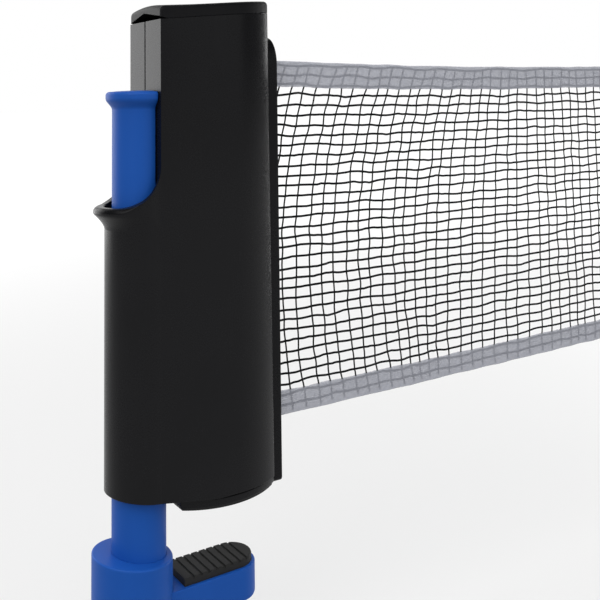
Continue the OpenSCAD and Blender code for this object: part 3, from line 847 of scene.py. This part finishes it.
def armPlan(inset):
    return tonguePlan(jaw["x"] + 4, jaw["armX"] - jaw["armY"], jaw["armY"] - inset, 48)


def padPlan(inset, steps=40):
    x0, x1 = jaw["padX"]
    return tonguePlan(x0 + inset, x1, jaw["padY"] - inset, steps)


def bossRing(inset, z=None, drop=0):
    # at height z, or parallel to the sloping shoulder
    def shoulderAt(x):
        return jaw["shoulder"] - barrel["skirtSlope"] * (x - rod["x"]) - drop

    points = arc(jaw["x"], 0, jaw["r"] - inset, 0, 360, 144)[:-1]
    return [(x, y, shoulderAt(x) if z is None else z) for x, y in points]


def jawPiece():
    x, low, top, foot = jaw["x"], jaw["armTop"] - jaw["armT"], jaw["armTop"], jaw["bottom"]
    rings = [bossRing(0.8, foot), bossRing(0.2, foot + 0.2), bossRing(0, foot + 0.8)]
    rings += [bossRing(0, None, 10), bossRing(0, None, jaw["round"])]
    rings += [bossRing(inset, None, left) for inset, left in quarterRound(jaw["round"], 6)]
    piece = loft("lowerJaw", rings)
    combine(piece, [block("tableSide", jaw["edgeX"], 40, -30, 30, top, 60)])
    arm = stacked("arm", armPlan, [(0.8, low), (0.23, low + 0.23), (0, low + 0.8), (0, top - 0.4),
                                   (0.12, top - 0.12), (0.4, top)])
    side = [(x + 8, foot + 1), (x + 15, foot + 1), (jaw["armX"] - 8, low + 1), (x + 8, low + 1)]
    ribY = [s * (jaw["armY"] - 2.2) for s in jaw["ribs"]]
    combine(piece, [arm], "UNION")
    combine(piece, [sidePrism("rib", side, y - 1, y + 1) for y in ribY], "UNION")
    return combine(piece, [rodAlong("socket", (rod["x"], 0, rod["low"]), (rod["x"], 0, 60), rod["r"], 144),
                           prism("bed", padPlan(0, 48), top - jaw["padSunk"], 0), pinHole()])


def jawPadPiece():
    low, top = jaw["armTop"] - jaw["padSunk"], jaw["padTop"]
    piece = stacked("jawPad", padPlan, [(0, low), (0, top - 0.5), (0.15, top - 0.15), (0.5, top)])
    return combine(piece, [block("grip", x, x + jaw["gripWide"], -9, 9, top - jaw["gripDeep"], top + 1)
                           for x in jaw["gripX"]])


def pinPiece():
    r, half, edge = pin["r"], pin["half"], pin["edge"]
    ends = [(0, half), (r - edge, half), (r, half - edge)]
    piece = revolve("jawPin", [(q, -h) for q, h in ends] + list(reversed(ends)), 0, 40)
    spot = Matrix.Translation((rod["x"] * mm, 0, pin["z"] * mm))
    piece.data.transform(spot @ Matrix.Rotation(pi / 2, 4, "X"))
    return piece


place(evenShade(jawPiece()), "clamp", rodBlue, "lower_jaw")
place(evenShade(jawPadPiece()), "clamp", softRubber, "lower_jaw_pad")
place(pinPiece(), "clamp", brightSteel, "jaw_pin")
print("rod and jaw ready")


class NodeTree:
    # a Geometry Nodes tree with named inputs; a default is None where the input has none
    def __init__(self, name, inputs):
        self.tree = bpy.data.node_groups.new(name, "GeometryNodeTree")
        face = self.tree.interface
        face.new_socket("Geometry", in_out="INPUT", socket_type="NodeSocketGeometry")
        self.ids = {}
        for label, (kind, value) in inputs.items():
            socket = face.new_socket(label, in_out="INPUT", socket_type="NodeSocket" + kind)
            if value is not None:
                socket.default_value = value
            self.ids[label] = socket.identifier
        face.new_socket("Geometry", in_out="OUTPUT", socket_type="NodeSocketGeometry")
        self.start = self.tree.nodes.new("NodeGroupInput")
        self.end = self.tree.nodes.new("NodeGroupOutput")

    def add(self, kind, settings=None, out=0, **values):
        return addNode(self.tree, kind, settings, out, **values)

    def given(self, label):
        return Value(self.tree, self.start.outputs[label])

    def finish(self, geometry):
        real = self.add("GeometryNodeRealizeInstances", Geometry=geometry)
        coat = self.add("GeometryNodeSetMaterial", Geometry=real, Material=self.given("Coat"))
        feed(self.tree, self.end.inputs[0], coat)

    def run(self, obj, values):
        step = obj.modifiers.new("nodes", "NODES")
        step.node_group = self.tree
        for label, value in values.items():
            step[self.ids[label]] = value
        return bakeModifiers(obj)


# the net's threads

net = {
    "x0": 17.5, "slotX": 27.3, "x1": 229.3, "low": 20.5, "top": 152.5, "topBand": (142.7, 152.9),
    "bottomBand": (29.1, 20.4), "rowZ": 139.8, "rowPitch": 3.86, "rows": (-3, 30), "columnX": 32.6,
    "columnPitch": 6.04, "acrossR": 0.45, "uprightR": 0.36, "knotR": 0.48, "flat": 0.62, "sag": 1.5,
    "wobble": 0.34, "drift": 0.9, "billow": 0.22, "play": 0.45, "hem": 0.9, "seed": 11, "folded": 0.0022,
}
# how the columns bow: each stretch is a start and a length, each share is for above, below and all along
bow = {"slotX": (19, 7), "fade": (95, 95), "bulgeIn": (100, 25), "bulgeOut": (150, 40), "midZ": 75,
       "upper": 60, "lower": 45, "wide": (9, 3, 11.5), "bulge": (2, 3.5, 2.3)}


def sagAt(x, z):
    # the net hangs a little between the slot and its far end, most near its upper edge
    share = (z - net["low"]) / (net["top"] - net["low"])
    t = (x - net["slotX"]) / (net["x1"] - net["slotX"])
    return -net["sag"] * (0.25 + 0.6 * share) * sin(pi * min(1, max(0, t)) ** 0.85)


def leanAt(x, z):
    # the columns bow towards the slot below the upper tape
    def rise(stretch):
        start, length = bow[stretch]
        return smoothStep((x - start) / length)

    up = max(0, (z - bow["midZ"]) / bow["upper"])
    down = max(0, (bow["midZ"] - z) / bow["lower"])
    above, below, along = bow["wide"]
    wide = (1 - rise("fade")) * (above * up ** 2 + below * down ** 2 - along)
    above, below, along = bow["bulge"]
    bulge = rise("bulgeIn") * (1 - rise("bulgeOut")) * (above * up - along - below * down)
    return rise("slotX") * (wide + bulge)


def uneven(a, b, c):
    return noise.noise(Vector((a, b, c)))


def ripple(a, b, size):
    return size * uneven(a * 0.09, b * 0.13, net["seed"])


def netPoint(x, z):
    px = x + leanAt(x, z) + ripple(x, z, net["drift"])
    px = min(net["x1"], max(net["x0"] + 0.5, px))
    free = net["bottomBand"][0] + 1 < z < net["topBand"][0] - 1
    py = net["billow"] * ripple(x, z + 50, 1.0) if free else 0
    return (px, py, z + sagAt(x, z) + ripple(x + 40, z, net["drift"]))


def threadMesh(name, lines, crossings):
    points, edges = [], []
    for line in lines:
        first = len(points)
        points += line
        edges += [(first + i, first + i + 1) for i in range(len(line) - 1)]
    firstKnot = len(points)
    points += crossings
    obj = makeMesh(name, points, edges)
    flag = obj.data.attributes.new("knot", "BOOLEAN", "POINT")
    flag.data.foreach_set("value", [i >= firstKnot for i in range(len(points))])
    return obj


def threadTree():
    tree = NodeTree("netThreads", {"Thread radius": ("Float", 0.2 * mm), "Knot radius": ("Float", 0.3 * mm),
                                   "Step": ("Float", 1.0 * mm), "Twist scale": ("Float", 520.0),
                                   "Sides": ("Int", 5), "Coat": ("Material", None)})
    given = tree.given
    knots = tree.add("GeometryNodeInputNamedAttribute", {"data_type": "BOOLEAN"}, Name="knot")
    curves = tree.add("GeometryNodeMeshToCurve", Mesh=given("Geometry"))
    thread = tree.add("GeometryNodeCurvePrimitiveCircle", Resolution=given("Sides"),
                      Radius=given("Thread radius"))
    short = tree.add("GeometryNodeResampleCurve", {"mode": "LENGTH"}, Curve=curves, Length=given("Step"))
    twist = tree.add("ShaderNodeTexNoise", Scale=given("Twist scale"), Detail=1.0)
    swell = tree.add("ShaderNodeMapRange", Value=twist, _1=0.32, _2=0.68, _3=0.74, _4=1.26)
    swollen = tree.add("GeometryNodeSetCurveRadius", Curve=short, Radius=swell)
    tubes = tree.add("GeometryNodeCurveToMesh", Curve=swollen, Profile_Curve=thread, Fill_Caps=True)
    ball = tree.add("GeometryNodeMeshIcoSphere", Radius=given("Knot radius"), Subdivisions=1)
    spots = tree.add("GeometryNodeInstanceOnPoints", Points=given("Geometry"), Selection=knots, Instance=ball,
                     Scale=(1.15, 0.85, 1.0))
    both = tree.add("GeometryNodeJoinGeometry", _0=[tubes, spots])
    tree.finish(tree.add("GeometryNodeSetShadeSmooth", Geometry=both))
    return tree


def netRows():
    first, last = net["rows"]
    return [net["rowZ"] - net["rowPitch"] * j for j in range(last, first - 1, -1)]


def netColumns():
    first, pitch, play = net["columnX"], net["columnPitch"], net["play"]
    count = int((net["x1"] - 1.5 - first) / pitch)
    return [first + pitch * k + play * sin(1.9 * k) for k in range(-2, count + 1)]


def netPiece():
    rows, columns = netRows(), netColumns()
    across, upright, crossings = [], [], []
    for z in rows:
        line = []
        stops = columns + [net["x1"]]
        for i, x in enumerate(stops):
            for part in (0.33, 0.67) if i else ():
                px, py, pz = netPoint(stops[i - 1] + (x - stops[i - 1]) * part, z)
                line.append((px, py, pz + net["wobble"] * uneven(px * 1.1, z * 1.7, 5)))
            line.append(netPoint(x, z) if x < net["x1"] else (net["x1"] + 0.5, 0, netPoint(x, z)[2]))
        across.append(line)
    for x in columns:
        line = []
        zs = [net["low"] + net["hem"]] + rows + [net["top"] - net["hem"]]
        for a, z in enumerate(zs):
            if a:
                line.append(netPoint(x, (zs[a - 1] + z) / 2))
            line.append(netPoint(x, z))
            if 0 < a < len(zs) - 1:
                crossings.append(netPoint(x, z))
        upright.append(line)
    tree = threadTree()
    sets = []
    for name, lines, knots in (("across", across, crossings), ("upright", upright, [])):
        sizes = {"Thread radius": net[name + "R"] * mm, "Knot radius": net["knotR"] * mm, "Coat": netBlack}
        sets.append(tree.run(threadMesh(name, lines, knots), sizes))
    both = joined("netThreads", sets)
    both.data.transform(Matrix.Diagonal((1, net["flat"], 1, 1)))
    both.data.shade_smooth()
    return both


def squashToSlot(obj):
    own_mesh(obj)


netMesh = place(netPiece(), "housing", netBlack, "net_mesh")
squashToSlot(netMesh)
print("net threads ready:", len(netMesh.data.polygons), "faces")

# tapes folded over the net's edges

tape = {"gap": 0.37, "thick": 0.10, "step": 1.0, "foldSteps": 8, "sideSteps": 6, "fray": 0.13, "wave": 0.10,
        "crease": 0.05, "ripple": 0.35}


def tapePiece(name, edgeZ, openZ):
    # a U in section: down the front, round the fold, down the back
    up = 1 if edgeZ > openZ else -1
    half = tape["gap"] + tape["thick"] / 2
    straight = edgeZ - up * (half + tape["thick"] / 2)
    length = net["x1"] - net["x0"]
    steps = int(length / tape["step"])

    def section(offset):
        h = half + offset
        turns = [pi * i / tape["foldSteps"] for i in range(tape["foldSteps"] + 1)]
        fold = [(-h * cos(a), straight + up * h * sin(a)) for a in turns]
        parts = [openZ + (straight - openZ) * i / tape["sideSteps"] for i in range(tape["sideSteps"])]
        return [(-h, z) for z in parts] + fold + [(h, z) for z in reversed(parts)]

    ring = section(tape["thick"] / 2) + list(reversed(section(-tape["thick"] / 2)))
    rings = []
    for i in range(steps + 1):
        x = net["x0"] + length * i / steps
        points = []
        for y, z in ring:
            share = abs(z - edgeZ) / abs(edgeZ - openZ)
            frayed = tape["fray"] * uneven(x * 0.8, z, 3) * (0.5 + share)
            soft = tape["wave"] * uneven(x * 0.13, z * 0.2, 8) + tape["crease"] * uneven(x * 0.5, z * 0.6, 1)
            points.append((x, y + soft, z + sagAt(x, z) + frayed + ripple(x + 40, z, tape["ripple"])))
        rings.append(points)
    width = 2 * (abs(edgeZ - openZ) - half) + pi * half
    return loft(name, rings, 60), (width * mm, length * mm)


for name, node, (openZ, edgeZ) in (("topTape", "net_top_band", net["topBand"]),
                                   ("bottomTape", "net_bottom_band", net["bottomBand"])):
    piece, flat = tapePiece(name, edgeZ, openZ)
    place(piece, "housing", tapeGrey, node)
    squashToSlot(piece)
print("tapes ready")

# the net wound on the spool

roll = {"r0": 4.5, "r1": 12.0, "pitch": 0.30, "thick": 0.16, "hem": 0.05, "steps": 40}


def rollPiece():
    turns = (roll["r1"] - roll["r0"] - roll["thick"]) / roll["pitch"]
    z0, z1 = net["bottomBand"][0], net["topBand"][0]
    heights = [net["low"], z0, z0 + 0.1, z1 - 0.1, z1, net["top"]]
    thick = [roll["thick"] + roll["hem"] * hemmed for hemmed in (1, 1, 0, 0, 1, 1)]
    rings = []
    long = 0
    for i in range(int(turns * roll["steps"]) + 1):
        a = tau * i / roll["steps"]
        r = roll["r0"] + roll["pitch"] * i / roll["steps"]
        long += r * tau / roll["steps"]
        c, s = cos(a), sin(a)
        outer = [(barrel["spoolX"] + (r + t) * c, (r + t) * s, z) for z, t in zip(heights, thick)]
        inner = [(barrel["spoolX"] + r * c, r * s, z) for z in heights]
        rings.append(outer + list(reversed(inner)))
    return loft("netRoll", rings), long


netRoll, rollLength = rollPiece()
place(netRoll, "spool", netBlack, "net_roll")
rollLength * mm
print("net roll ready:", round(rollLength), "mm wound")

# clamp spring

spring = {"wireR": 0.6, "coilR": 5.1, "turns": 12.0, "z0": 15.56, "z1": 73.36, "folded": 0.49}


def springPiece():
    sizes = {"Wire radius": spring["wireR"] * mm, "Coil radius": spring["coilR"] * mm,
             "Turns": spring["turns"], "Height": (spring["z1"] - spring["z0"]) * mm}
    tree = NodeTree("wireCoil", {**{label: ("Float", size) for label, size in sizes.items()},
                                 "Coat": ("Material", None)})
    coil = tree.given("Coil radius")
    path = tree.add("GeometryNodeCurveSpiral", Resolution=40, Rotations=tree.given("Turns"),
                    Start_Radius=coil, End_Radius=coil, Height=tree.given("Height"))
    ring = tree.add("GeometryNodeCurvePrimitiveCircle", Resolution=14, Radius=tree.given("Wire radius"))
    tree.finish(tree.add("GeometryNodeCurveToMesh", Curve=path, Profile_Curve=ring, Fill_Caps=True))
    piece = tree.run(makeMesh("clampSpring", []), {**sizes, "Coat": springSteel})
    piece.data.transform(Matrix.Translation((rod["x"] * mm, 0, spring["z0"] * mm)))
    return clean(piece, 50)


clampSpring = place(springPiece(), "housing", springSteel, "clamp_spring")
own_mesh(clampSpring)

# screws; aim is the way from a screw's point to its head

screwRows = (
    {"name": "caseScrews", "node": "housing_screws", "aim": (0, 1, 0), "length": 18.0, "head": 2.0,
     "spots": [(x, screw["reachY"], z) for x, z in caseScrews]},
    {"name": "footScrews", "node": "base_screws", "aim": (0, 0, -1), "length": 8.2, "head": 1.4,
     "spots": [(x, y, 10.7) for x, y in foot["screws"]]},
    {"name": "seatScrews", "node": "seat_screws", "aim": (1, 0, 0), "length": 3.0, "head": 1.6,
     "spots": [(-13.5, y, skirtAt(rod["x"]) + 16) for y in (-3, 3)]},
)


def screwShape(length, head):
    # point at Z = 0, head's top at length + head
    steps, core, crest, headR = screw["steps"], screw["coreR"], screw["r"], screw["headR"]
    top = length + head

    def hexRing(size, z):
        points = []
        for k in range(steps):
            a = tau * k / steps
            reach = size * cos(pi / 6) / cos((a % (tau / 6)) - pi / 6)
            points.append((reach * cos(a), reach * sin(a), z))
        return points

    levels = [(0.55, 0), (core, 0.4)]
    z = 0.5
    while z < length - 0.6:
        levels += [(core, z), (crest, z + 0.16), (crest, z + 0.22), (core, z + 0.38)]
        z += screw["pitch"]
    levels += [(core, length - 0.12), (crest, length - 0.02), (headR - 0.12, length), (headR, length + 0.12),
               (headR, top - 0.3), (headR - 0.09, top - 0.09), (headR - 0.3, top)]
    rings = [atHeight(circle(r, steps), z) for r, z in levels]
    rings += [hexRing(1.32, top), hexRing(1.2, top - 0.1), hexRing(1.2, top - 1.0)]
    return loft("screwShape", rings, 30)


def screwPiece(name, node, aim, length, head, spots):
    shape = screwShape(length, head)
    tree = NodeTree(name + "Rows", {"Screw": ("Object", None), "Aim": ("Vector", (0, 0, 1)),
                                    "Coat": ("Material", None)})
    form = tree.add("GeometryNodeObjectInfo", out="Geometry", Object=tree.given("Screw"))
    turn = tree.add("FunctionNodeAlignRotationToVector", {"axis": "Z"}, Vector=tree.given("Aim"))
    tree.finish(tree.add("GeometryNodeInstanceOnPoints", Points=tree.given("Geometry"), Instance=form,
                         Rotation=turn))
    piece = tree.run(makeMesh(name, spots), {"Screw": shape, "Aim": aim, "Coat": brightSteel})
    bpy.data.objects.remove(shape)
    place(clean(piece, 30), "housing", brightSteel, node)


for row in screwRows:
    screwPiece(**row)
print("spring and screws ready")

# the net's far end

farEnd = {"x": 232.5, "r": 3.2, "low": 18.5, "top": 154.5, "rodR": 1.7, "tipR": 1.5, "out": 8.0,
          "grooveR": 0.25, "tipGroove": 0.35, "steps": 64}


def endPieces():
    low, top, r, rr, tip = (farEnd[key] for key in ("low", "top", "r", "rodR", "tipR"))
    grooved = r - farEnd["grooveR"]
    half = [(rr, 0), (r - 0.6, 0), (r - 0.17, 0.17), (r, 0.6), (r, 2.2), (grooved, 2.5), (grooved, 3.1),
            (r, 3.4)]
    outline = [(q, low + h) for q, h in half] + [(q, top - h) for q, h in reversed(half)]
    rows = [atHeight(circle(q, farEnd["steps"], farEnd["x"]), z) for q, z in outline]
    rings = [list(ring) for ring in zip(*rows)]
    bar = loft("endBar", rings + [rings[0]], capped=False)
    grooved = tip - farEnd["tipGroove"]
    z0, z1 = low - farEnd["out"], top + farEnd["out"]
    half = [(0, z0), (tip - 0.4, z0), (tip, z0 + 0.4), (tip, z0 + 2.0), (grooved, z0 + 2.3),
            (grooved, z0 + 3.1), (tip, z0 + 3.4), (tip, low - 0.01), (rr, low)]
    profile = half + [(q, z0 + z1 - z) for q, z in reversed(half)]
    return bar, revolve("endRod", profile, farEnd["x"], 40)


endBar, endRod = endPieces()
place(endBar, "net_end", bezelBlack, "net_end_bar")
place(endRod, "net_end", brightSteel, "net_end_rod")

# the pieces inside keep their CAD form

inside = {"spring_seat": springSteel, "spool_core": spoolWhite, "spool_arbor": brightSteel,
          "spool_spring": springSteel, "spring_drum": bezelBlack, "upper_bush": turnedBrass,
          "lower_bush": turnedBrass, "guide_pins": brightSteel}
for nodeName, material in inside.items():
    mesh = frame["nodes"][nodeName].data
    mesh.materials.clear()
    mesh.materials.append(material)
print("all pieces ready")

# studio: lamps and floor; places of lamps are in metres

# floorGlow runs from near the object to far off, so the floor carries a painted soft shade round the object
studio = {"floorZ": -72.5, "floorReach": 30000, "floorTone": 0.32, "floorGlow": (0.55, 0.85),
          "glowAt": (0.2, 1.6), "world": 0.62, "mirrored": (0.06, 1.0), "mirroredAt": (0.35, 0.80),
          "mirroredWay": (0.259, 0.966, 0)}
lamps = {
    "leftPanel": {"at": (-0.50, 0.95, 0.25), "aim": (-0.02, 0, 0.08), "size": (0.9, 1.0), "radiance": 2.0},
    "topPanel": {"at": (-0.35, -0.35, 1.0), "aim": (0, 0, 0.08), "size": (0.9, 0.9), "radiance": 1.5},
    "frontFill": {"at": (-0.46, -0.32, 0.42), "aim": (-0.02, 0, 0.09), "size": (0.28, 0.36), "radiance": 1.9},
    "frontPanel": {"at": (0.42, -1.0, 0.55), "aim": (0, 0, 0.08), "size": (0.8, 0.8), "radiance": 0.8},
    "slotStrip": {"at": (0.8, 0.06, 0.08), "aim": (0.02, -0.01, 0.08), "size": (0.05, 1.1), "radiance": 16.0},
}


def makeLamp(name, at, aim, size, radiance):
    data = bpy.data.lights.new(name, "AREA")
    data.shape = "RECTANGLE"
    data.size, data.size_y = size
    data.energy = radiance * pi * size[0] * size[1]
    lamp = keep(data, name)
    lamp.location = at
    lamp.rotation_euler = (Vector(aim) - Vector(at)).to_track_quat("-Z", "Y").to_euler()
    lamp.visible_camera = False


def smoothRamp(tree, value, span, ends):
    low, high = span
    return addNode(tree, "ShaderNodeMapRange", smooth, _0=value, _1=low, _2=high, _3=ends[0], _4=ends[1])


def makeWorld():
    # even light all round; mirrored in the pieces it is dark in front and bright behind
    world = bpy.data.worlds.new("studio")
    bpy.context.scene.world = world
    world.use_nodes = True
    tree = world.node_tree
    path = tree.nodes.new("ShaderNodeLightPath")
    way = addNode(tree, "ShaderNodeTexCoord", out="Generated")
    facing = addNode(tree, "ShaderNodeVectorMath", {"operation": "DOT_PRODUCT"}, "Value", _0=way,
                     _1=studio["mirroredWay"])
    mirrored = smoothRamp(tree, facing, studio["mirroredAt"], studio["mirrored"])
    level = studio["world"]
    for ray, seen in (("Is Glossy Ray", mirrored), ("Is Transmission Ray", 1.0), ("Is Camera Ray", 1.0)):
        level = addNode(tree, "ShaderNodeMix", {"data_type": "FLOAT"}, _0=Value(tree, path.outputs[ray]),
                        _2=level, _3=seen)
    back = tree.nodes["Background"]
    feed(tree, back.inputs["Strength"], level)
    back.inputs["Color"].default_value = rgb(1, 1, 1)


def makeFloor():
    z, reach = studio["floorZ"], studio["floorReach"]
    corners = [(-reach, -reach, z), (reach, -reach, z), (reach, reach, z), (-reach, reach, z)]
    floor = makeMesh("floor", corners, faces=[(0, 1, 2, 3)])
    material = bpy.data.materials.new("floorWhite")
    material.use_nodes = True
    tree = material.node_tree
    tree.nodes.clear()
    tone = studio["floorTone"]
    matt = addNode(tree, "ShaderNodeBsdfDiffuse", Color=rgb(tone, tone, tone))
    where = addNode(tree, "ShaderNodeTexCoord", out="Object")
    far = addNode(tree, "ShaderNodeVectorMath", {"operation": "LENGTH"}, "Value", _0=where)
    path = tree.nodes.new("ShaderNodeLightPath")
    seen = Value(tree, path.outputs["Is Camera Ray"])
    for ray in ("Is Glossy Ray", "Is Transmission Ray"):
        seen = seen.math("MAXIMUM", Value(tree, path.outputs[ray]))
    # the floor's glow is weaker near the object than far off: painted shade on the floor round the object,
    # which also dims the floor's reflection in the pieces' lower parts
    shine = seen * smoothRamp(tree, far, studio["glowAt"], studio["floorGlow"])
    glow = addNode(tree, "ShaderNodeEmission", Strength=shine)
    addNode(tree, "ShaderNodeOutputMaterial", Surface=addNode(tree, "ShaderNodeAddShader", _0=matt, _1=glow))
    floor.data.materials.append(material)


for name, lamp in lamps.items():
    makeLamp(name, **lamp)
makeWorld()
makeFloor()

# camera: place in millimetres, turns in radians, clip in metres

view = {"place": (-151.4806, -280.7793, 135.8599), "yaw": 0.570542553, "pitch": 0.0740010363,
        "roll": -0.0121217998, "lens": 52.47, "sensor": 36, "shift": (0.05, -0.434), "clip": (0.01, 200)}


def makeCamera():
    yaw, pitch, roll = view["yaw"], view["pitch"], view["roll"]
    ahead = Vector((sin(yaw) * cos(pitch), cos(yaw) * cos(pitch), sin(pitch)))
    right = Vector((cos(yaw), -sin(yaw), 0))
    up = right.cross(ahead)
    side = cos(roll) * right + sin(roll) * up
    above = -sin(roll) * right + cos(roll) * up
    data = bpy.data.cameras.new("camera")
    data.lens = view["lens"]
    data.sensor_width = view["sensor"]
    data.shift_x, data.shift_y = view["shift"]
    data.clip_start, data.clip_end = view["clip"]
    camera = keep(data, "camera")
    turn = Matrix((side, above, -ahead)).transposed().to_4x4()
    camera.matrix_world = Matrix.Translation(Vector(view["place"]) * mm) @ turn
    bpy.context.scene.camera = camera


makeCamera()
bpy.context.scene.view_settings.view_transform = "Standard"
print("studio and camera ready")
